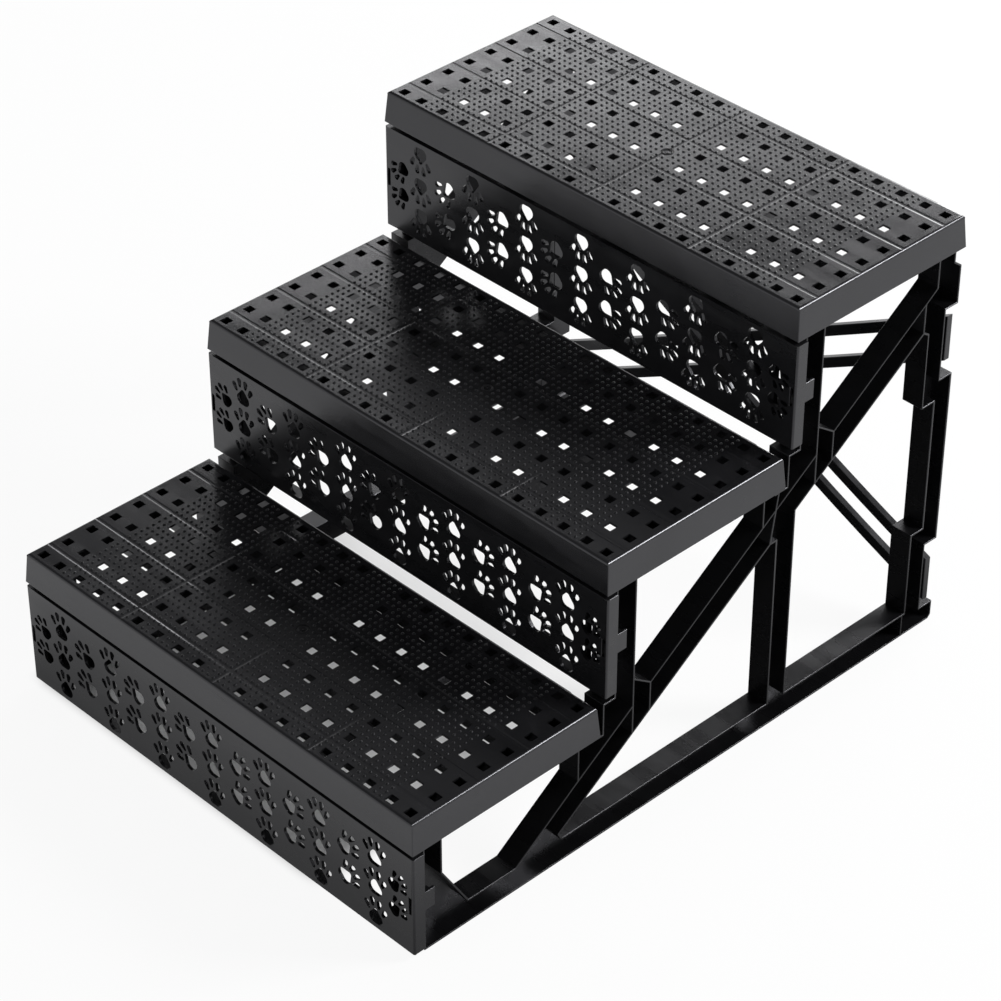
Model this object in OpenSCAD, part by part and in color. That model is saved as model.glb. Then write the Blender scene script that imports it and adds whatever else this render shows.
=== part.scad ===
// Three-step pet stairs, black moulded plastic, snapped together from flat-packed pieces.
// Origin at the middle of the footprint on the floor, +Z up, the lowest step at the -Y end.
// Millimetres.

/* [Stairs] */
// Overall width across the treads
width = 345; // [300:1:420]
// Height of each step
rise = 100; // [90:1:120]
// Distance from one tread to the next, front to back
run = 150; // [140:1:170]

/* [Treads] */
// Gap between the back of a tread and the front of the next tread
tread_gap = 3; // [2:0.5:6]
// Height of the skirt round a tread
skirt_height = 21.5; // [20:0.5:26]
// Wall of the skirt
skirt_wall = 1.8; // [1.4:0.1:2.2]
// How much the skirt leans in from its bottom to the top of the tread
skirt_lean = 1.7; // [1:0.1:2]
// Radius of the edge round the top of a tread
tread_edge = 2; // [1:0.1:2.5]
// Thickness of the top plate
plate = 1.4; // [1.2:0.1:2.4]
// Spacing of the square drain holes
hole_pitch = 18.4; // [17:0.1:24]
// Side of a drain hole
hole_size = 6.1; // [4:0.1:7]
// Side face to the middle of the outermost column of holes
edge_column = 10; // [9:0.1:12]
// Thickness of the ribs under the top plate
rib = 1.6; // [1.2:0.1:2]
// Depth of those ribs below the top of the tread, where the side frames carry them
rib_depth = 13; // [11:0.5:15]
// Depth of the apron behind the back skirt, below the top of the tread
apron_depth = 33; // [28:0.5:40]

/* [Risers] */
// Thickness of the riser's face and of the flange round it
riser_wall = 2; // [1.6:0.1:2.4]
// Depth of that flange, front to back
flange_depth = 8.7; // [8:0.1:11]
// Plan radius of the riser's upright corners
riser_corner = 1.4; // [0.6:0.1:1.4]
// Gap between the skirt above and the riser
gap_above = 3; // [2:0.5:6]
// Gap between the riser and the tread below
gap_below = 4.5; // [2:0.5:6]
// Length of the snap tab on each flange
tab_length = 7.5; // [6:0.5:10]
// Height of that tab
tab_height = 13.5; // [10:0.5:18]
// Columns of paw-shaped holes, three paws and two paws by turns
paw_columns = 15; // [11:2:15]
// Height of one paw-shaped hole
paw_size = 19; // [14:0.5:20]

/* [Side frames] */
// Depth of a side frame, across the stairs
frame_depth = 15.5; // [14:0.5:18]
// Thickness of its walls
wall = 1.2; // [1:0.1:1.8]
// Thickness of the web at its inner face
web = 2; // [1.6:0.1:2.4]
// Height of the diagonal member, measured straight up
diagonal_height = 20.3; // [17:0.1:22]
// Height of the base rail
base_height = 17.3; // [16:0.1:20]
// Width of the rear post
rear_post = 14.6; // [13:0.1:16]
// Depth of the notches in the back of the rear post
notch_depth = 11; // [9:0.5:12]
// Height of each notch
notch_height = 49.5; // [46:0.5:54]
// Height of the foot under the lower notch
foot_height = 13.5; // [12:0.5:16]

/* [Rear struts] */
// Height of one rail of a strut, measured straight up
strut_rail = 8.1; // [6:0.1:9]
// Middle of one rail to the middle of the other, measured straight up
strut_spacing = 23.7; // [21:0.1:24.5]
// Thickness of a strut, front to back
strut_thickness = 4.7; // [3:0.1:5]
// How far the front strut bows forward between its ends
front_bow = 8.4; // [8:0.1:9]
// How far the back strut bows forward between its ends
back_bow = 3; // [2.5:0.1:3.3]

/* [Hidden] */
$fn = 48;
steps = 3;
black = [0.07, 0.07, 0.075];
// One overrun for all cuts
over = 1;

// Treads
tread_depth = run - tread_gap;
// The hole grid and the frames stand a little ahead of the tread's middle
grid_shift = -0.6;
// Least distance between a row of holes and the edge of the tread
hole_margin = 5;
groove_width = 3.2;
groove_floor = 1.2;
groove_depth = 0.15;
// Cut-off corners of the hollow, which keep the wall there
corner_fill = 2.4;
gate_radius = 4.2;
gate_depth = 0.5;
nub_radius = 1.3;
nub_height = 0.4;
edge_x = width / 2 - edge_column;
column_count = floor((edge_x - hole_pitch / 2) / hole_pitch);
row_count = floor((tread_depth / 2 - hole_margin) / hole_pitch + 0.5);
end_rib_x = (column_count * hole_pitch + edge_x) / 2;
mid_rib_x = (column_count + 1) / 2 * hole_pitch;
rib_columns = [-end_rib_x, -mid_rib_x, 0, mid_rib_x, end_rib_x];
rib_rows = [for (i = [-row_count + 1 : 2 : row_count - 1]) grid_shift + i * hole_pitch];
// Apron let into the back skirt, and its ends short of the side frames
apron_overlap = 0.2;
apron_end_gap = 4.3;

// Side frames
frame_clearance = 0.2;
frame_lean = skirt_lean * (skirt_height - rib_depth) / skirt_height;
frame_x = width / 2 - skirt_wall - frame_lean - frame_clearance;
frame_inner_x = frame_x - frame_depth;
web_x = frame_inner_x + web;
// Face of a riser behind the front of the tread above, and the frame behind its flange
riser_inset = 0.3;
flange_clearance = 1.4;
riser_front = -tread_depth / 2 + riser_inset;
frame_front = riser_front + flange_depth + flange_clearance;
// Back of the tread's rail, inside the back skirt
rail_back_gap = 3.3;
rail_back = tread_depth / 2 - skirt_wall - rail_back_gap;
rail_height = 3.5;
// Passage of the frame under the back skirt and up behind it
pass_gap = 2.3;
ledge_drop = 1.5;
ledge_gap = 4.2;
ledge_front = tread_depth / 2 + ledge_gap;
top_z = steps * rise;
// Back faces of the rear post, from the middle of the top tread
foot_proud = 1.9;
post_proud = 0.9;
foot_back = tread_depth / 2 + foot_proud;
post_back = tread_depth / 2 + post_proud;
notch_back = post_back - notch_depth;
neck_drop = 31;
neck_slope = 4.5;
foot_chamfer = 3;
notch_drop = 62.5;
notch_top_z = top_z - notch_drop;
total_depth = tread_depth / 2 + (steps - 1) * run + foot_back;

// Places along the side frame: shares of run from a tread's middle, or of rise below its top
front_post_share = -0.3283;
front_post_bend_share = 0.5;
front_post_foot_share = -0.1933;
post_share = -0.3153;
gusset_share = -0.221;
gusset_rise_share = 0.1;
back_wall_share = 0.3898;
mid_post_shares = [0.4746, 0.5754];
diagonal_foot_shares = [0.0543, 0.819];
diagonal_head_shares = [0.294, 0.5];
head_rise_share = 0.07;
head_drop_share = 0.03;
base_rib_share = 0.31;
mid_post_chamfer_share = 0.037;
low_foot_shares = [0.049, 0.068];

// Risers
riser_height = rise - skirt_height - gap_above - gap_below;
paw_margin = 8.7;
paw_pitch = (width - 2 * paw_margin) / (paw_columns - 1);
paw_row_share = 0.313;
// Middle of the three-paw and of the two-paw columns, above the middle of the riser
three_paw_share = -0.056;
two_paw_share = -0.01;
side_paw_turn = 50;
side_paw_shift_share = 0.066;
// The last column at each end: smaller, closer together and further in
end_paw_share = 0.85;
end_row_share = 0.84;
end_paw_shift_share = 0.35;
side_inset = 0.03;
tab_wall = 1.8;
hook_depth = 2.4;
hook_length = 2.2;
slot_width = 2.2;
slot_height = 12.4;
locator_wall = 1.6;
locator_height = 60;
locator_inset = 3.9;
// Stiffening rib behind the face, beside the side frame
back_rib = 1.6;
back_rib_gap = 0.5;
back_rib_depth = 6.9;

// Paw with its toes towards +Y: place and radius of each round corner, as shares of its height
pad_shares = [[-0.081, -0.111, 0.216], [0.081, -0.111, 0.216], [0, 0.173, 0.095]];
// Inner and outer toe on the right, each from its root to its tip
toe_shares = [
    [[0.133, 0.378, 0.062], [0.154, 0.563, 0.105]],
    [[0.315, 0.178, 0.07], [0.4, 0.335, 0.103]]
];

// Rear struts
strut_end_x = frame_x;
strut_end_wall = 3.2;
strut_end_clearance = 5.4;
strut_seat = 2;
strut_tie = 24;
strut_middle_z = (notch_top_z + foot_height) / 2;
strut_half_height = (strut_spacing + strut_rail) / 2;
strut_climb = (notch_top_z - foot_height) / 2 - strut_end_clearance - strut_half_height;
strut_front = notch_back + strut_seat;
lug_inset = 4;
lug_width = 7;
lug_height = 12;

// Middle of tread k, front to back, counted from 1 at the bottom
function tread_y(k) = -total_depth / 2 + tread_depth / 2 + (k - 1) * run;
top_y = tread_y(steps);

// Point at a share of run from the middle of tread k and a share of rise below its top
function place(k, run_share, rise_share) = [tread_y(k) + run_share * run, (k - rise_share) * rise];

// Upper line of the diagonal member
diagonal_foot = place(1, diagonal_foot_shares[0], diagonal_foot_shares[1]);
diagonal_head = place(steps, diagonal_head_shares[0], diagonal_head_shares[1]);
diagonal_slope = (diagonal_head[1] - diagonal_foot[1]) / (diagonal_head[0] - diagonal_foot[0]);
function diagonal_z(y) = diagonal_foot[1] + diagonal_slope * (y - diagonal_foot[0]);
function on_diagonal(y) = [y, diagonal_z(y)];
function under_diagonal(y) = [y, diagonal_z(y) - diagonal_height];

// Outline of the same corners with every side moved inwards by d, for corners in
// counter-clockwise order
function side_normal(p, q) = [p[1] - q[1], q[0] - p[0]] / norm(q - p);
function moved_corner(p, q, r, d) =
    let (a = side_normal(p, q), b = side_normal(q, r)) q + d * (a + b) / (1 + a * b);
function inset(points, d) =
    let (n = len(points))
    [for (i = [0 : n - 1]) moved_corner(points[(i + n - 1) % n], points[i], points[(i + 1) % n], d)];
function reversed(points) = [for (i = [len(points) - 1 : -1 : 0]) points[i]];

// Side frame

// Step of the outer outline at tread k, from behind its riser up to the next riser
function step_outline(k) =
    let (y = tread_y(k), z = k * rise)
    [
        [y + frame_front, z - rib_depth],
        [y + rail_back, z - rib_depth],
        [y + rail_back, z - skirt_height - pass_gap],
        [y + ledge_front, z - skirt_height - pass_gap],
        [y + ledge_front, z - ledge_drop],
        [y + run + frame_front, z - ledge_drop]
    ];

// Outer outline, along the floor to the front and up the steps, then down the rear post
frame_outline = reversed(concat(
    [[tread_y(1) + frame_front, 0]],
    step_outline(1),
    step_outline(2),
    [
        [top_y + frame_front, top_z - rib_depth],
        [top_y + rail_back, top_z - rib_depth],
        [top_y + rail_back, top_z - neck_drop],
        [top_y + post_back, top_z - neck_drop - neck_slope],
        [top_y + post_back, notch_top_z],
        [top_y + notch_back, notch_top_z],
        [top_y + notch_back, notch_top_z - notch_height],
        [top_y + post_back, notch_top_z - notch_height],
        [top_y + post_back, foot_height + notch_height],
        [top_y + notch_back, foot_height + notch_height],
        [top_y + notch_back, foot_height],
        [top_y + foot_back, foot_height],
        [top_y + foot_back, foot_chamfer],
        [top_y + foot_back - foot_chamfer, 0]
    ]
));

rail_line = rib_depth + rail_height - wall / 2;
base_line = base_height - wall / 2;
post_line = tread_y(2) + post_share * run;
top_post_line = tread_y(3) + post_share * run;
gusset_line = tread_y(2) + gusset_share * run;
top_gusset_line = tread_y(3) + gusset_share * run;
back_wall_line = tread_y(1) + back_wall_share * run;
middle_back_wall_line = tread_y(2) + back_wall_share * run;
mid_post_front = tread_y(2) + mid_post_shares[0] * run;
mid_post_back = tread_y(2) + mid_post_shares[1] * run;
notch_line = top_y + notch_back - rear_post;
block_line = top_y + post_back - rear_post;
neck_line = top_y + rail_back - rear_post;
gusset_rise = gusset_rise_share * rise;

// Middle lines of the walls round the five openings, counter-clockwise
bottom_opening = [
    [place(1, front_post_share, 0)[0], rise - rail_line],
    place(1, front_post_share, front_post_bend_share),
    [place(1, front_post_foot_share, 0)[0], base_line],
    [diagonal_foot[0], base_line],
    on_diagonal(back_wall_line),
    [back_wall_line, rise - rail_line]
];
middle_opening = [
    [post_line, 2 * rise - rail_line],
    [post_line, diagonal_z(gusset_line) + gusset_rise],
    on_diagonal(gusset_line),
    on_diagonal(middle_back_wall_line),
    [middle_back_wall_line, 2 * rise - rail_line]
];
top_opening = [
    [top_post_line, top_z - rail_line],
    [top_post_line, diagonal_z(top_gusset_line) + gusset_rise],
    on_diagonal(top_gusset_line),
    diagonal_head,
    [neck_line, diagonal_head[1] + head_rise_share * rise],
    [neck_line, top_z - rail_line]
];
chamfer = mid_post_chamfer_share * run;
low_foot = diagonal_foot[0] + (base_line + diagonal_height - diagonal_foot[1]) / diagonal_slope;
low_front_opening = [
    under_diagonal(low_foot + low_foot_shares[0] * run),
    [low_foot + low_foot_shares[1] * run, base_line],
    [mid_post_front, base_line],
    [mid_post_front, under_diagonal(mid_post_front - chamfer)[1]],
    under_diagonal(mid_post_front - chamfer)
];
low_back_opening = [
    [mid_post_back, base_line],
    [notch_line, base_line],
    [notch_line, foot_height + notch_height + rear_post],
    [block_line, foot_height + notch_height + rear_post],
    [block_line, notch_top_z - notch_height - rear_post],
    [notch_line, notch_top_z - notch_height - rear_post],
    [notch_line, diagonal_head[1] - diagonal_height - head_drop_share * rise],
    [diagonal_head[0], diagonal_head[1] - diagonal_height],
    under_diagonal(mid_post_back)
];
openings = [
    bottom_opening, middle_opening, top_opening, low_front_opening, low_back_opening
];

// Walls inside the channels, each from one point to another
inner_walls = [
    [on_diagonal(back_wall_line), on_diagonal(post_line)],
    [on_diagonal(middle_back_wall_line), on_diagonal(top_post_line)],
    [[post_line, diagonal_z(gusset_line) + gusset_rise], under_diagonal(post_line)],
    [[top_post_line, diagonal_z(top_gusset_line) + gusset_rise], under_diagonal(top_post_line)],
    [on_diagonal(gusset_line), under_diagonal(gusset_line)],
    [on_diagonal(top_gusset_line), under_diagonal(top_gusset_line)],
    [[mid_post_front, 2 * rise - skirt_height - pass_gap], under_diagonal(mid_post_front - chamfer)],
    [diagonal_head, diagonal_head - [0, diagonal_height]],
    [place(steps, base_rib_share, steps) + [0, base_line], place(steps, base_rib_share, steps)]
];

// Strip of wall from p to q
module strip(p, q) {
    along = (q - p) / norm(q - p) * wall / 2;
    across = [-along[1], along[0]];
    polygon([p - along - across, q + along - across, q + along + across, p - along + across]);
}

module frame_channels() {
    difference() {
        polygon(inset(frame_outline, wall));
        for (points = openings) polygon(inset(points, -wall / 2));
        for (ends = inner_walls) strip(ends[0], ends[1]);
    }
}

module frame_face() {
    difference() {
        polygon(frame_outline);
        for (points = openings) polygon(inset(points, wall / 2));
    }
}

// Stands a side view, drawn as [y, z], on its plane and gives it a depth along +X
module from_side(x, depth) {
    translate([x, 0, 0])
        rotate([90, 0, 90])
            linear_extrude(depth)
                children();
}

module side_frame_right() {
    color(black)
        difference() {
            from_side(frame_inner_x, frame_depth) frame_face();
            from_side(web_x, frame_depth) frame_channels();
        }
}

module side_frame_left() {
    mirror([1, 0, 0]) side_frame_right();
}

// Treads

// Upright outline of a skirt: half width at the bottom, height and round top corners
module skirt_outline(half, height, round) {
    side = half - skirt_lean * (height - round) / height;
    polygon([
        [-half, -height], [half, -height], [side, -round], [side - round, -round],
        [side - round, 0], [round - side, 0], [round - side, -round], [-side, -round]
    ]);
    for (x = [round - side, side - round]) translate([x, -round]) circle(round);
}

// Stands two upright outlines across each other and keeps what lies in both
module crossed(half_x, half_y) {
    intersection() {
        translate([0, half_y + over, 0])
            rotate([90, 0, 0])
                linear_extrude(2 * (half_y + over))
                    children(0);
        translate([-half_x - over, 0, 0])
            rotate([90, 0, 90])
                linear_extrude(2 * (half_x + over))
                    children(1);
    }
}

// Outside of a tread, its top at z = 0
module tread_outside() {
    half_x = width / 2;
    half_y = tread_depth / 2;
    crossed(half_x, half_y) {
        skirt_outline(half_x, skirt_height, tread_edge);
        skirt_outline(half_y, skirt_height, tread_edge);
    }
}

// Upright outline of the hollow under a tread, level with the skirt's bottom and below it
module hollow_outline(half) {
    lean = skirt_lean * (skirt_height - plate) / skirt_height;
    past = skirt_lean * over / skirt_height;
    polygon([
        [-half - past, -skirt_height - over], [half + past, -skirt_height - over],
        [half - lean, -plate], [lean - half, -plate]
    ]);
}

// Hollow under a tread, its corners cut off to keep the wall there
module tread_inside() {
    half_x = width / 2 - skirt_wall;
    half_y = tread_depth / 2 - skirt_wall;
    cut = corner_fill;
    difference() {
        crossed(half_x, half_y) {
            hollow_outline(half_x);
            hollow_outline(half_y);
        }
        for (sx = [-1, 1], sy = [-1, 1])
            translate([sx * half_x, sy * half_y, -skirt_height - 2 * over])
                linear_extrude(skirt_height + 2 * over)
                    polygon([[-cut, 0], [0, -cut], [cut, 0], [0, cut]]);
    }
}

// Drain holes, seen from above
module hole_grid() {
    columns = concat(
        [-edge_x, edge_x],
        [for (i = [1 : column_count], s = [-1, 1]) s * i * hole_pitch]
    );
    for (x = columns, i = [-row_count + 0.5 : row_count - 0.5])
        translate([x, grid_shift + i * hole_pitch]) square(hole_size, center = true);
}

module tread_ribs() {
    inner_x = width / 2 - skirt_wall - skirt_lean / 2;
    inner_y = tread_depth / 2 - skirt_wall - skirt_lean / 2;
    rib_height = rib_depth - plate / 2;
    for (x = rib_columns)
        translate([x - rib / 2, -inner_y, -rib_depth]) cube([rib, 2 * inner_y, rib_height]);
    for (y = rib_rows)
        translate([-inner_x, y - rib / 2, -rib_depth]) cube([2 * inner_x, rib, rib_height]);
}

// Apron inside the back skirt, between the side frames
module tread_apron() {
    half = frame_inner_x - apron_end_gap;
    translate([-half, tread_depth / 2 - 2 * skirt_wall + apron_overlap, -apron_depth])
        cube([2 * half, skirt_wall, apron_depth - plate / 2]);
}

// Shallow groove with sloping sides, along +Z and open towards +Y
module groove(length) {
    wide = groove_width - groove_floor / 2;
    linear_extrude(length)
        polygon([
            [-groove_floor / 2, -groove_depth], [groove_floor / 2, -groove_depth],
            [wide, groove_depth], [-wide, groove_depth]
        ]);
}

// Grooves over all ribs but the outermost, and the round mark in the middle of the top
module tread_marks() {
    for (x = [-mid_rib_x, 0, mid_rib_x])
        translate([x, tread_depth / 2 + over, 0]) rotate([90, 0, 0]) groove(tread_depth + 2 * over);
    for (y = rib_rows)
        translate([-width / 2 - over, y, 0]) rotate([90, 0, 90]) groove(width + 2 * over);
    translate([0, grid_shift, -gate_depth]) cylinder(h = gate_depth + over, r = gate_radius);
}

module tread() {
    color(black) {
        difference() {
            union() {
                difference() {
                    tread_outside();
                    tread_inside();
                }
                tread_ribs();
                tread_apron();
            }
            translate([0, 0, -plate - over]) linear_extrude(plate + 2 * over) hole_grid();
            tread_marks();
        }
        translate([0, grid_shift, -gate_depth - over]) cylinder(h = over + nub_height, r = nub_radius);
    }
}

module placed_tread(k) {
    translate([0, tread_y(k), k * rise]) tread();
}

module tread_bottom() { placed_tread(1); }
module tread_middle() { placed_tread(2); }
module tread_top() { placed_tread(3); }

// Risers

// Round corners [x, y, radius], in counter-clockwise order, and the straight sides between
// them, a hair inside the lines that would touch them
function touching(a, b) =
    let (gap = [b[0] - a[0], b[1] - a[1]], d = norm(gap), s = (a[2] - b[2]) / d)
    s * gap / d + sqrt(1 - s * s) * [gap[1], -gap[0]] / d;
module round_shape(corners) {
    n = len(corners);
    polygon([
        for (i = [0 : n - 1], end = [0, 1])
            let (c = corners[(i + end) % n], side = touching(corners[i], corners[(i + 1) % n]))
            [c[0], c[1]] + (c[2] - side_inset) * side
    ]);
    for (c = corners) translate([c[0], c[1]]) circle(c[2]);
}

// One paw, its pad at the origin and its toes towards +Y
module paw() {
    round_shape(paw_size * pad_shares);
    for (m = [0, 1], toe = toe_shares) mirror([m, 0]) round_shape(paw_size * toe);
}

// All the paws of a riser, seen from the front with the middle of the riser at the origin
module paw_field() {
    half = (paw_columns - 1) / 2;
    row = paw_row_share * riser_height;
    for (i = [-half : half]) {
        if (i % 2 == 0) {
            for (j = [-1 : 1])
                translate([i * paw_pitch, three_paw_share * riser_height + j * row]) paw();
        } else {
            side = sign(i);
            at_end = abs(i) == half;
            shift = paw_size * (at_end ? end_paw_shift_share : side_paw_shift_share);
            step = row * (at_end ? end_row_share : 1);
            for (j = [-1, 1])
                translate([i * paw_pitch - side * shift, two_paw_share * riser_height + j * step / 2])
                    rotate(-side * side_paw_turn)
                        scale(at_end ? end_paw_share : 1)
                            paw();
        }
    }
}

// Plan of the riser's outside, its face at y = 0
module riser_plan() {
    half = width / 2;
    flat = half - riser_corner;
    translate([-half, riser_corner]) square([2 * half, flange_depth - riser_corner]);
    translate([-flat, 0]) square([2 * flat, riser_corner]);
    for (x = [-flat, flat]) translate([x, riser_corner]) circle(riser_corner);
}

// Room behind the face, inside the flange
module riser_pocket() {
    half = width / 2 - riser_wall;
    inner_height = riser_height - 2 * riser_wall;
    translate([-half, riser_wall, -inner_height / 2])
        cube([2 * half, flange_depth - riser_wall + over, inner_height]);
}

// Snap tab on the right flange, with its hook behind the front wall of the side frame
module snap_tab() {
    outer = width / 2 - (riser_wall - tab_wall) / 2;
    hook_y = frame_front + wall - riser_front;
    translate([outer - tab_wall, flange_depth - over, -tab_height / 2])
        cube([tab_wall, tab_length + over, tab_height]);
    translate([outer - tab_wall - hook_depth, hook_y, -tab_height / 2])
        cube([hook_depth + over / 2, hook_length, tab_height]);
}

// Rib that stands the riser off the front wall of the side frame
module locator() {
    x = frame_x - locator_inset;
    translate([x, riser_wall / 2, -locator_height / 2])
        cube([locator_wall, frame_front - riser_front - riser_wall / 2, locator_height]);
}

// Stiffening rib from flange to flange, beside the side frame
module stiffener() {
    translate([frame_inner_x - back_rib_gap - back_rib, riser_wall / 2, -riser_height / 2 + riser_wall / 2])
        cube([back_rib, back_rib_depth - riser_wall / 2, riser_height - riser_wall]);
}

module riser() {
    color(black)
        difference() {
            union() {
                difference() {
                    translate([0, 0, -riser_height / 2]) linear_extrude(riser_height) riser_plan();
                    riser_pocket();
                }
                for (m = [0, 1]) mirror([m, 0, 0]) {
                    snap_tab();
                    locator();
                    stiffener();
                }
            }
            translate([0, riser_wall + over, 0])
                rotate([90, 0, 0])
                    linear_extrude(riser_wall + 2 * over)
                        paw_field();
            for (m = [0, 1]) mirror([m, 0, 0])
                translate([width / 2 - riser_wall - slot_width, -over, -slot_height / 2])
                    cube([slot_width, riser_wall + 2 * over, slot_height]);
        }
}

// Riser under tread k; turn is 180 where it is fitted upside down
module placed_riser(k, turn) {
    translate([0, tread_y(k) + riser_front, k * rise - skirt_height - gap_above - riser_height / 2])
        rotate([0, turn, 0])
            riser();
}

module riser_bottom() { placed_riser(1, 0); }
module riser_middle() { placed_riser(2, 0); }
module riser_top() { placed_riser(3, 180); }

// Rear struts

// Band between two upright lines that climbs with the strut, seen from the back
module climbing_band(x0, x1, low, high) {
    slope = strut_climb / strut_end_x;
    polygon([
        [x0, x0 * slope + low], [x1, x1 * slope + low],
        [x1, x1 * slope + high], [x0, x0 * slope + high]
    ]);
}

module strut_face() {
    inner = (strut_spacing - strut_rail) / 2;
    difference() {
        climbing_band(-strut_end_x, strut_end_x, -strut_half_height, strut_half_height);
        climbing_band(strut_end_wall - strut_end_x, -strut_tie / 2, -inner, inner);
        climbing_band(strut_tie / 2, strut_end_x - strut_end_wall, -inner, inner);
    }
}

// Strut that climbs towards +X and bows forward in the middle
module strut(bow) {
    radius = (strut_end_x * strut_end_x + bow * bow) / (2 * bow);
    center_y = top_y + strut_front - bow + radius;
    height = strut_climb + strut_half_height + over;
    color(black) {
        intersection() {
            translate([0, top_y + strut_front + strut_thickness + bow, strut_middle_z])
                rotate([90, 0, 0])
                    linear_extrude(strut_thickness + 3 * bow)
                        strut_face();
            translate([0, center_y, strut_middle_z - height])
                difference() {
                    cylinder(h = 2 * height, r = radius, $fn = 720);
                    translate([0, 0, -over])
                        cylinder(h = 2 * (height + over), r = radius - strut_thickness, $fn = 720);
                }
        }
        for (s = [-1, 1])
            translate([
                s * (strut_end_x - lug_inset - lug_width / 2) - lug_width / 2,
                top_y + notch_back,
                strut_middle_z + s * strut_climb - lug_height / 2
            ])
                cube([lug_width, strut_seat + strut_thickness / 2, lug_height]);
    }
}

module rear_strut_back() { strut(back_bow); }
module rear_strut_front() { mirror([1, 0, 0]) strut(front_bow); }

tread_bottom();
tread_middle();
tread_top();
riser_bottom();
riser_middle();
riser_top();
side_frame_left();
side_frame_right();
rear_strut_front();
rear_strut_back();
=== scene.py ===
import math

import bpy
from mathutils import Matrix, Vector

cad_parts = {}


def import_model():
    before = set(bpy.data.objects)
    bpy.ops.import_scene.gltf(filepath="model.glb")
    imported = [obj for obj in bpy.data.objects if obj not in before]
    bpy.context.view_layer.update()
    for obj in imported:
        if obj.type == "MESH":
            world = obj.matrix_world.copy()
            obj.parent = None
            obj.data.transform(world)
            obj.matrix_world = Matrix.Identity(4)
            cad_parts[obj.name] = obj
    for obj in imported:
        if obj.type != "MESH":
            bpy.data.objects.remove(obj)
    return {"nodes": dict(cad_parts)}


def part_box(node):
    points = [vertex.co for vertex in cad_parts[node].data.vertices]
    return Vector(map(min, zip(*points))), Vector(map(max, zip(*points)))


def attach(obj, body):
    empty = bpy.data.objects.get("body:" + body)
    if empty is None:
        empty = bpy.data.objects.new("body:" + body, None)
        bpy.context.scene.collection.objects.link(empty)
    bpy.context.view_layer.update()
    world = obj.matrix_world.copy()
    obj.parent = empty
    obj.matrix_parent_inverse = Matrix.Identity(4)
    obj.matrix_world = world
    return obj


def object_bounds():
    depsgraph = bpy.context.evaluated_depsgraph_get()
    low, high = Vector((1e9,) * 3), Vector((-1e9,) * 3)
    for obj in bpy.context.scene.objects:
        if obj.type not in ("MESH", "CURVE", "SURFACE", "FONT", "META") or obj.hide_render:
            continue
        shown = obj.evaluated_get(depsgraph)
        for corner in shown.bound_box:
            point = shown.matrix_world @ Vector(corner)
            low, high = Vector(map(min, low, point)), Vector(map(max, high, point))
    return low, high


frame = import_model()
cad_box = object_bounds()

# Pet stairs, in metres and in the CAD's frame: +X to the right, +Y to the back and +Z up
nodes = frame["nodes"]
TREADS = ("tread_bottom", "tread_middle", "tread_top")
RISERS = ("riser_bottom", "riser_middle", "riser_top")
FRAMES = ("side_frame_left", "side_frame_right")
STRUTS = ("rear_strut_front", "rear_strut_back")
WHITE = (1.0, 1.0, 1.0, 1.0)
BLACK = (0.0, 0.0, 0.0, 1.0)


def linked(name, data):
    """New object in the scene."""
    o = bpy.data.objects.new(name, data)
    bpy.context.scene.collection.objects.link(o)
    return o


def new_object(name, verts, faces, material, smooth=True):
    mesh = bpy.data.meshes.new(name)
    mesh.from_pydata(verts, [], faces)
    mesh.update()
    if smooth:
        mesh.polygons.foreach_set("use_smooth", [True] * len(mesh.polygons))
    mesh.materials.append(material)
    return linked(name, mesh)


# Camera: where the photograph was taken from, for a square picture. Sensor and lens are in mm.
AZIMUTH, ELEVATION, ROLL = math.radians(45.992), math.radians(36.256), math.radians(0.014)
EYE = Vector((1.22218, -1.17130, 1.35769))
SENSOR_WIDTH = 36.0
LENS = 124.325
CLIP_START = 0.05
CLIP_END = 60.0


def camera():
    data = bpy.data.cameras.new("camera")
    data.sensor_width = SENSOR_WIDTH
    data.sensor_fit = "HORIZONTAL"
    data.lens = LENS
    data.clip_start = CLIP_START
    data.clip_end = CLIP_END
    ahead = Vector((
        -math.sin(AZIMUTH) * math.cos(ELEVATION),
        math.cos(AZIMUTH) * math.cos(ELEVATION),
        -math.sin(ELEVATION),
    ))
    turn = ahead.to_track_quat("-Z", "Y").to_matrix() @ Matrix.Rotation(ROLL, 3, "Z")
    o = linked("camera", data)
    o.matrix_world = Matrix.Translation(EYE) @ turn.to_4x4()
    bpy.context.scene.camera = o


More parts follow.
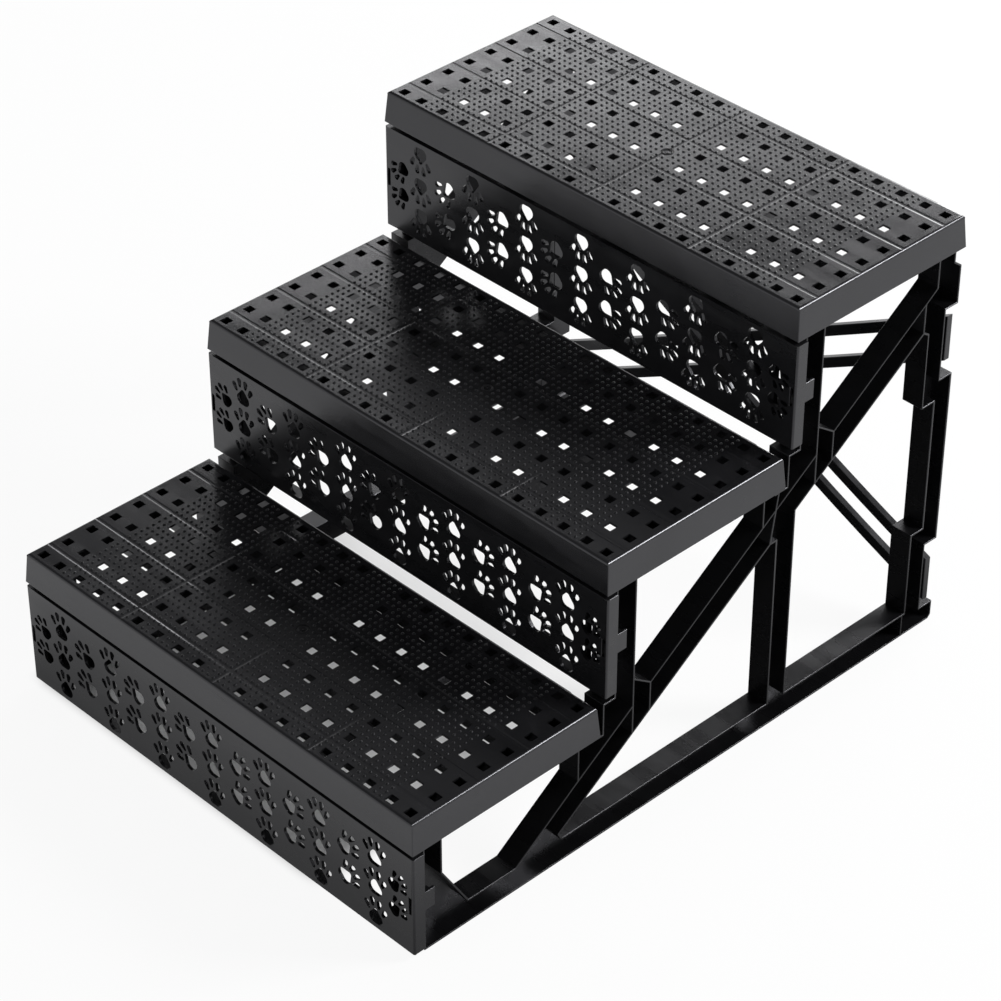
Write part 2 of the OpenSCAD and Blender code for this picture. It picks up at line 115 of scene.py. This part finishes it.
class Tree:
    """A node tree, built from empty. What a node's input is given is a number, a colour, a word
    or the output of another node."""

    def __init__(self, tree):
        self.nodes, self.links = tree.nodes, tree.links
        self.nodes.clear()

    def add(self, kind, inputs=None, **settings):
        node = self.nodes.new(kind)
        for key, value in settings.items():
            setattr(node, key, value)
        for key, value in (inputs or {}).items():
            if isinstance(value, bpy.types.NodeSocket):
                self.links.new(value, node.inputs[key])
            else:
                node.inputs[key].default_value = value
        return node

    def math(self, operation, a, b):
        return self.add("ShaderNodeMath", {0: a, 1: b}, operation=operation).outputs["Value"]

    def product(self, a, b):
        return self.math("MULTIPLY", a, b)

    def map(self, value, low, high, start=0.0, end=1.0, kind="LINEAR"):
        """From low where the value is start, to high where it is end."""
        return self.add("ShaderNodeMapRange", {
            "Value": value, "From Min": start, "From Max": end, "To Min": low, "To Max": high,
        }, interpolation_type=kind).outputs["Result"]

    def step(self, value, start, end):
        """Smooth step from 0 at start to 1 at end."""
        return self.map(value, 0.0, 1.0, start, end, "SMOOTHSTEP")

    def noise(self, where, scale, detail=3.0, rough=0.55, stretch=None):
        if stretch:
            stretched = self.add("ShaderNodeMapping", {"Vector": where, "Scale": stretch})
            where = stretched.outputs["Vector"]
        return self.add("ShaderNodeTexNoise", {
            "Vector": where, "Scale": scale, "Detail": detail, "Roughness": rough,
        }).outputs["Fac"]

    def ramp(self, value, colors, places=(0.0, 1.0)):
        node = self.add("ShaderNodeValToRGB", {"Fac": value})
        for element, color, place in zip(node.color_ramp.elements, colors, places):
            element.position = place
            element.color = color
        return node.outputs["Color"]

    def bump(self, height, distance, **below):
        return self.add("ShaderNodeBump", {
            "Strength": 1.0, "Distance": distance, "Height": height, **below,
        }).outputs["Normal"]

    def mix_shader(self, share, a, b):
        return self.add("ShaderNodeMixShader", {"Fac": share, 1: a, 2: b}).outputs["Shader"]

    def sees_white(self, path):
        """1 for the rays that see the white background: camera, glossy and transmission."""
        either = self.math("MAXIMUM", path["Is Camera Ray"], path["Is Glossy Ray"])
        return self.math("MAXIMUM", either, path["Is Transmission Ray"])


def shader_tree(owner):
    """The emptied node tree of a material or a world."""
    owner.use_nodes = True
    return Tree(owner.node_tree)


# Black moulded polypropylene: its tone and roughness, the scale and depth of the mould's grain,
# the depth of the surface's slow waves, and the specular level
PLASTICS = {
    "tread_plastic": (0.009, 0.2, 1500.0, 0.00003, 0.0006, 0.5),
    # The dots and gate scar are the tread's own plastic with a darker tone: that lower tone is
    # painted shade on them
    "dot_plastic_painted_shade": (0.005, 0.45, 1500.0, 0.00003, 0.0006, 0.3),
    "riser_plastic": (0.008, 0.29, 1300.0, 0.00002, 0.0005, 0.5),
    # The frames are the treads' black plastic with a darker tone: that lower tone is painted shade
    # in their deep channels
    "frame_plastic": (0.004, 0.28, 1100.0, 0.00002, 0.0003, 0.45),
}
IOR = 1.5
SPECULAR_TINT = (0.94, 0.94, 1.0, 1.0)
CLOUD_SCALE = 26.0
WAVE_SCALE = 14.0
STREAK_SCALE = 90.0
STREAK_STRETCH = (0.12, 1.0, 1.0)
# Darker and lighter patches: their colours as shares of the tone, and where the noise has them
PATCHES = ((0.8, 0.8, 0.88), (1.25, 1.25, 1.38))
PATCH_PLACES = (0.3, 0.75)
# How far streaks and patches move the roughness, over the middle range of the noise
STREAK_GLOSS = (-0.05, 0.07)
PATCH_GLOSS = (-0.03, 0.03)
NOISE_RANGE = (0.3, 0.7)


def plastic(name, tone, rough, grain, grain_depth, wave_depth, level):
    """Fine mould grain on slow waves, with patches of tone and gloss, and streaks of gloss."""
    material = bpy.data.materials.new(name)
    t = shader_tree(material)
    where = t.add("ShaderNodeTexCoord").outputs["Object"]
    cloud = t.noise(where, CLOUD_SCALE, 4.0)
    fine = t.noise(where, grain, 2.0, 0.6)
    slow = t.noise(where, WAVE_SCALE, 2.0, 0.5)
    streak = t.noise(where, STREAK_SCALE, 3.0, 0.6, STREAK_STRETCH)
    colors = [tuple(tone * share for share in patch) + (1.0,) for patch in PATCHES]
    streaks = t.map(streak, rough + STREAK_GLOSS[0], rough + STREAK_GLOSS[1], *NOISE_RANGE)
    patches = t.map(cloud, *PATCH_GLOSS, *NOISE_RANGE)
    waves = t.bump(slow, wave_depth)
    surface = t.add("ShaderNodeBsdfPrincipled", {
        "Base Color": t.ramp(cloud, colors, PATCH_PLACES),
        "Roughness": t.math("ADD", streaks, patches),
        "IOR": IOR,
        "Specular IOR Level": level,
        "Specular Tint": SPECULAR_TINT,
        "Normal": t.bump(fine, grain_depth, Normal=waves),
    })
    t.add("ShaderNodeOutputMaterial", {"Surface": surface.outputs["BSDF"]})
    return material


def dress(names, material):
    for n in names:
        materials = nodes[n].data.materials
        materials.clear()
        materials.append(material)


# Edges that get a small radius: how sharply they turn outwards and how long they are at least,
# and the radius. The surface is shaded as one curve where it folds by less than FOLD.
FOLD = math.radians(20)
SHARP = math.radians(40)
LONG = 0.007
EDGE_RADIUS = 0.0004
EDGE_SEGMENTS = 3
WELD_DISTANCE = 0.00001


def long_edges():
    """Geometry nodes that weight the long, sharp, outward edges for a bevel, and mark as sharp
    every edge that folds by more than FOLD."""
    group = bpy.data.node_groups.new("long_edges", "GeometryNodeTree")
    for way in ("INPUT", "OUTPUT"):
        group.interface.new_socket("Geometry", in_out=way, socket_type="NodeSocketGeometry")
    t = Tree(group)
    mesh = t.add("NodeGroupInput").outputs["Geometry"]
    angle = t.add("GeometryNodeInputMeshEdgeAngle").outputs
    ends = t.add("GeometryNodeInputMeshEdgeVertices").outputs
    length = t.add("ShaderNodeVectorMath", {0: ends["Position 1"], 1: ends["Position 2"]},
                   operation="DISTANCE").outputs["Value"]
    crisp = t.add("GeometryNodeSetShadeSmooth", {
        "Geometry": mesh,
        "Selection": t.math("GREATER_THAN", angle["Unsigned Angle"], FOLD),
        "Shade Smooth": False,
    }, domain="EDGE")
    sharp = t.math("GREATER_THAN", angle["Signed Angle"], SHARP)
    weighted = t.add("GeometryNodeStoreNamedAttribute", {
        "Geometry": crisp.outputs["Geometry"],
        "Name": "bevel_weight_edge",
        "Value": t.product(sharp, t.math("GREATER_THAN", length, LONG)),
    }, data_type="FLOAT", domain="EDGE")
    t.add("NodeGroupOutput", {"Geometry": weighted.outputs["Geometry"]})
    return group


def round_edges(names):
    """Soften the moulded edges by a small radius, so that they catch the light."""
    choice = long_edges()
    for n in names:
        weld = nodes[n].modifiers.new("weld", "WELD")
        weld.merge_threshold = WELD_DISTANCE
        pick = nodes[n].modifiers.new("pick", "NODES")
        pick.node_group = choice
        bevel = nodes[n].modifiers.new("edges", "BEVEL")
        bevel.width = EDGE_RADIUS
        bevel.segments = EDGE_SEGMENTS
        bevel.limit_method = "WEIGHT"
        bevel.use_clamp_overlap = False
        shade = nodes[n].modifiers.new("shade", "WEIGHTED_NORMAL")
        shade.keep_sharp = True


# The treads' hole grid, as in part.scad: its spacing, the side of a hole, how far the grid lies
# from the middle, and its last column and row. No column lies on the middle line.
PITCH = 0.0184
HOLE = 0.0061
GRID_SHIFT = -0.0006
LAST_COLUMN = 8
LAST_ROW = 3.5

# Grip dots: small domes in a square grid, DOTS_PER_HOLE to each spacing of the holes. None lies
# over a hole, round the gate mark, near the front and back edges or at the two smooth ends.
# The profile has shares of the radius and height, from the foot up.
DOT_RADIUS = 0.00118
DOT_HEIGHT = 0.0007
DOT_SIDES = 8
DOT_PROFILE = ((1.0, -0.15), (0.72, 0.62))
DOTS_PER_HOLE = 4
HALF_DOT_COLUMNS = 31
HALF_DOT_ROWS = 16
DOT_MARGIN = 0.0035
GATE_CLEARANCE = 0.0056


def tread_detail(name, verts, faces, material):
    o = new_object(name, verts, faces, material)
    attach(o, "root")


def dome(x, y, z, verts, faces):
    base = len(verts)
    for share, up in DOT_PROFILE:
        for i in range(DOT_SIDES):
            a = 2 * math.pi * i / DOT_SIDES
            verts.append((
                x + DOT_RADIUS * share * math.cos(a),
                y + DOT_RADIUS * share * math.sin(a),
                z + DOT_HEIGHT * up,
            ))
    verts.append((x, y, z + DOT_HEIGHT))
    top = base + len(DOT_PROFILE) * DOT_SIDES
    for i in range(DOT_SIDES):
        j = (i + 1) % DOT_SIDES
        faces.append((base + i, base + j, base + DOT_SIDES + j, base + DOT_SIDES + i))
        faces.append((base + DOT_SIDES + i, base + DOT_SIDES + j, top))


def over_hole(x, y):
    column, row = round(x / PITCH), round(y / PITCH - 0.5) + 0.5
    return (
        column != 0 and abs(column) <= LAST_COLUMN and abs(row) <= LAST_ROW
        and abs(x - column * PITCH) < HOLE / 2 + DOT_RADIUS
        and abs(y - row * PITCH) < HOLE / 2 + DOT_RADIUS
    )


def grip_dots(node, material):
    low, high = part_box(node)
    middle = (low.y + high.y) / 2 + GRID_SHIFT
    step = PITCH / DOTS_PER_HOLE
    verts, faces = [], []
    for i in range(-HALF_DOT_COLUMNS, HALF_DOT_COLUMNS):
        for j in range(-HALF_DOT_ROWS, HALF_DOT_ROWS):
            x, y = (i + 0.5) * step, (j + 0.5) * step
            on_face = low.y + DOT_MARGIN < middle + y < high.y - DOT_MARGIN
            if on_face and not over_hole(x, y) and math.hypot(x, y) >= GATE_CLEARANCE:
                dome(x, middle + y, high.z, verts, faces)
    tread_detail(node + "_grip_dots", verts, faces, material)


# Gate mark: a torn ring of plastic round the nub, on the floor of the mark, and a rough patch
# inside it, just above the tread. The profile has shares of the ring's half width and height.
SCAR_RADIUS = 0.0030
SCAR_WIDTH = 0.0010
SCAR_HEIGHT = 0.0007
SCAR_SIDES = 40
SCAR_DEPTH = 0.0009
SCAR_PROFILE = ((-1.0, 0.0), (-0.5, 0.75), (0.0, 1.0), (0.55, 0.7), (1.0, 0.0))
PATCH_HEIGHT = 0.0002
# How the ring's width and height vary round it: the mean, and each wave's number of turns,
# size and phase
SCAR_WIDE = (0.9, ((5, 0.15, 0.0),))
SCAR_TALL = (1.62, ((3, 0.2, 0.6), (7, 0.13, 0.0), (11, 0.08, 0.0)))


def varied(a, mean, waves):
    return mean + sum(size * math.sin(turns * a + phase) for turns, size, phase in waves)


def gate_scar(node, material):
    low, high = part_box(node)
    middle = (low.y + high.y) / 2 + GRID_SHIFT
    verts, faces = [], []
    for i in range(SCAR_SIDES):
        a = 2 * math.pi * i / SCAR_SIDES
        width = SCAR_WIDTH * varied(a, *SCAR_WIDE)
        height = SCAR_HEIGHT * varied(a, *SCAR_TALL)
        for out, up in SCAR_PROFILE:
            r = SCAR_RADIUS + width * out
            z = high.z - SCAR_DEPTH + height * up
            verts.append((r * math.cos(a), middle + r * math.sin(a), z))
    n = len(SCAR_PROFILE)
    patch = len(verts)
    verts.append((0.0, middle, high.z + PATCH_HEIGHT))
    for i in range(SCAR_SIDES):
        j = (i + 1) % SCAR_SIDES
        faces.append((patch, i * n, j * n))
        for k in range(n - 1):
            faces.append((i * n + k, i * n + k + 1, j * n + k + 1, j * n + k))
        faces.append((i * n + n - 1, i * n, j * n, j * n + n - 1))
    tread_detail(node + "_gate_scar", verts, faces, material)


# Floor: pale paper that looks white, by the share FLOOR_LIFT of a white glow. The share falls to
# SHADED_LIFT under the lowest tread, and by BEHIND_FADE a little further back. Each edge of these
# two places is given by where its step starts and ends.
HALF_FLOOR = 14.0
PAPER = (0.84, 0.87)
SPECKLE_SCALE = 3.0
FLOOR_LIFT = 0.92
SHADED_LIFT = 0.05
BEHIND_FADE = 0.5
SHADED_LEFT = (-0.185, -0.165)
SHADED_RIGHT = (0.095, 0.070)
SHADED_FRONT = (-0.228, -0.205)
SHADED_BACK = (0.01, -0.08)
BEHIND_BACK = (0.085, -0.015)
# Painted shadow on the floor, seen only by glossy rays: black is mixed in near and under the
# object's footprint, so the object's own glossy faces reflect a painted shadow. Each row gives how
# dark it gets, and how far outside and inside the object's footprint its edge starts and ends
PAINTED_GLOSSY_SHADOWS = ((0.6, 0.11, 0.0), (0.9, 0.0, 0.03))


def floor_material():
    material = bpy.data.materials.new("floor")
    t = shader_tree(material)
    where = t.add("ShaderNodeTexCoord").outputs["Object"]
    place = t.add("ShaderNodeSeparateXYZ", {"Vector": where}).outputs
    path = t.add("ShaderNodeLightPath").outputs
    tones = [(tone, tone, tone, 1.0) for tone in PAPER]
    paper = t.add("ShaderNodeBsdfDiffuse", {
        "Color": t.ramp(t.noise(where, SPECKLE_SCALE), tones)}).outputs["BSDF"]
    glow = t.add("ShaderNodeEmission", {"Color": WHITE, "Strength": 1.0}).outputs["Emission"]
    # Black glow for the painted shadow that glossy rays see on the floor
    painted_shadow_black = t.add("ShaderNodeEmission", {"Color": BLACK, "Strength": 0.0}).outputs["Emission"]

    across = t.product(t.step(place["X"], *SHADED_LEFT), t.step(place["X"], *SHADED_RIGHT))
    front = t.step(place["Y"], *SHADED_FRONT)
    under = t.product(across, t.product(front, t.step(place["Y"], *SHADED_BACK)))
    behind = t.product(across, t.product(front, t.step(place["Y"], *BEHIND_BACK)))
    share = t.product(t.sees_white(path), t.map(under, FLOOR_LIFT, SHADED_LIFT))
    share = t.product(share, t.map(behind, 1.0, 1.0 - BEHIND_FADE))
    surface = t.mix_shader(share, paper, glow)

    # Painted shadow: glossy rays see black mixed into the floor near and under the object
    for painted_darkness, outside, inside in PAINTED_GLOSSY_SHADOWS:
        mask = path["Is Glossy Ray"]
        for axis in (0, 1):
            for edge, out in ((cad_box[0][axis], -1), (cad_box[1][axis], 1)):
                side = t.step(place["XY"[axis]], edge + out * outside, edge - out * inside)
                mask = t.product(mask, side)
        surface = t.mix_shader(t.map(mask, 0.0, painted_darkness), surface, painted_shadow_black)
    t.add("ShaderNodeOutputMaterial", {"Surface": surface})
    return material


# World: what camera, glossy and transmission rays see is white up to the first height of
# SKY_FALL, as a share of straight up, and falls to CEILING at the second. The rest see AMBIENT.
SKY_FALL = (0.3, 0.62)
CEILING = 0.17
AMBIENT = 0.35
AMBIENT_COLOR = (0.96, 0.98, 1.0, 1.0)


def world():
    w = bpy.data.worlds.new("world")
    bpy.context.scene.world = w
    t = shader_tree(w)
    where = t.add("ShaderNodeTexCoord").outputs["Generated"]
    height = t.add("ShaderNodeSeparateXYZ", {"Vector": where}).outputs["Z"]
    path = t.add("ShaderNodeLightPath").outputs
    seen, lit = (
        t.add("ShaderNodeBackground", {"Color": color, "Strength": strength}).outputs["Background"]
        for color, strength in (
            (WHITE, t.map(height, 1.0, CEILING, *SKY_FALL, "SMOOTHSTEP")),
            (AMBIENT_COLOR, AMBIENT),
        )
    )
    t.add("ShaderNodeOutputWorld", {"Surface": t.mix_shader(t.sees_white(path), lit, seen)})


def stage():
    s = HALF_FLOOR
    corners = [(-s, -s, 0), (s, -s, 0), (s, s, 0), (-s, s, 0)]
    floor = new_object("floor", corners, [(0, 1, 2, 3)], floor_material(), smooth=False)
    world()


# Softboxes: bearing (0 is the front, 90 the right) and elevation in degrees, width, height, watts
SOFTBOXES = {
    "low_back": (195.0, 9.0, 1.2, 0.5, 23.0),
    "mid_back": (195.0, 21.0, 1.2, 0.5, 15.0),
    "back_left": (222.0, 26.5, 1.3, 0.27, 6.4),
    "back_right": (134.0, 35.0, 0.8, 0.7, 60.0),
}
LAMP_DISTANCE = 2.6
LAMP_AIM = Vector((0, 0, 0.15))


def softbox(name, bearing, elevation, width, height, watts):
    """Area lamp that looks at the stairs."""
    data = bpy.data.lights.new(name, "AREA")
    data.shape = "RECTANGLE"
    data.size = width
    data.size_y = height
    data.energy = watts
    a, e = math.radians(bearing), math.radians(elevation)
    place = LAMP_AIM + LAMP_DISTANCE * Vector((
        math.sin(a) * math.cos(e), -math.cos(a) * math.cos(e), math.sin(e)))
    turn = (LAMP_AIM - place).to_track_quat("-Z", "Y").to_matrix()
    linked(name, data).matrix_world = Matrix.Translation(place) @ turn.to_4x4()


camera()
plastics = {name: plastic(name, *look) for name, look in PLASTICS.items()}
dress(TREADS, plastics["tread_plastic"])
dress(RISERS, plastics["riser_plastic"])
dress(FRAMES + STRUTS, plastics["frame_plastic"])
round_edges(TREADS + RISERS + FRAMES + STRUTS)
for tread in TREADS:
    grip_dots(tread, plastics["dot_plastic_painted_shade"])
    gate_scar(tread, plastics["dot_plastic_painted_shade"])
stage()
for name, settings in SOFTBOXES.items():
    softbox(name, *settings)

scene = bpy.context.scene
scene.view_settings.view_transform = "Standard"
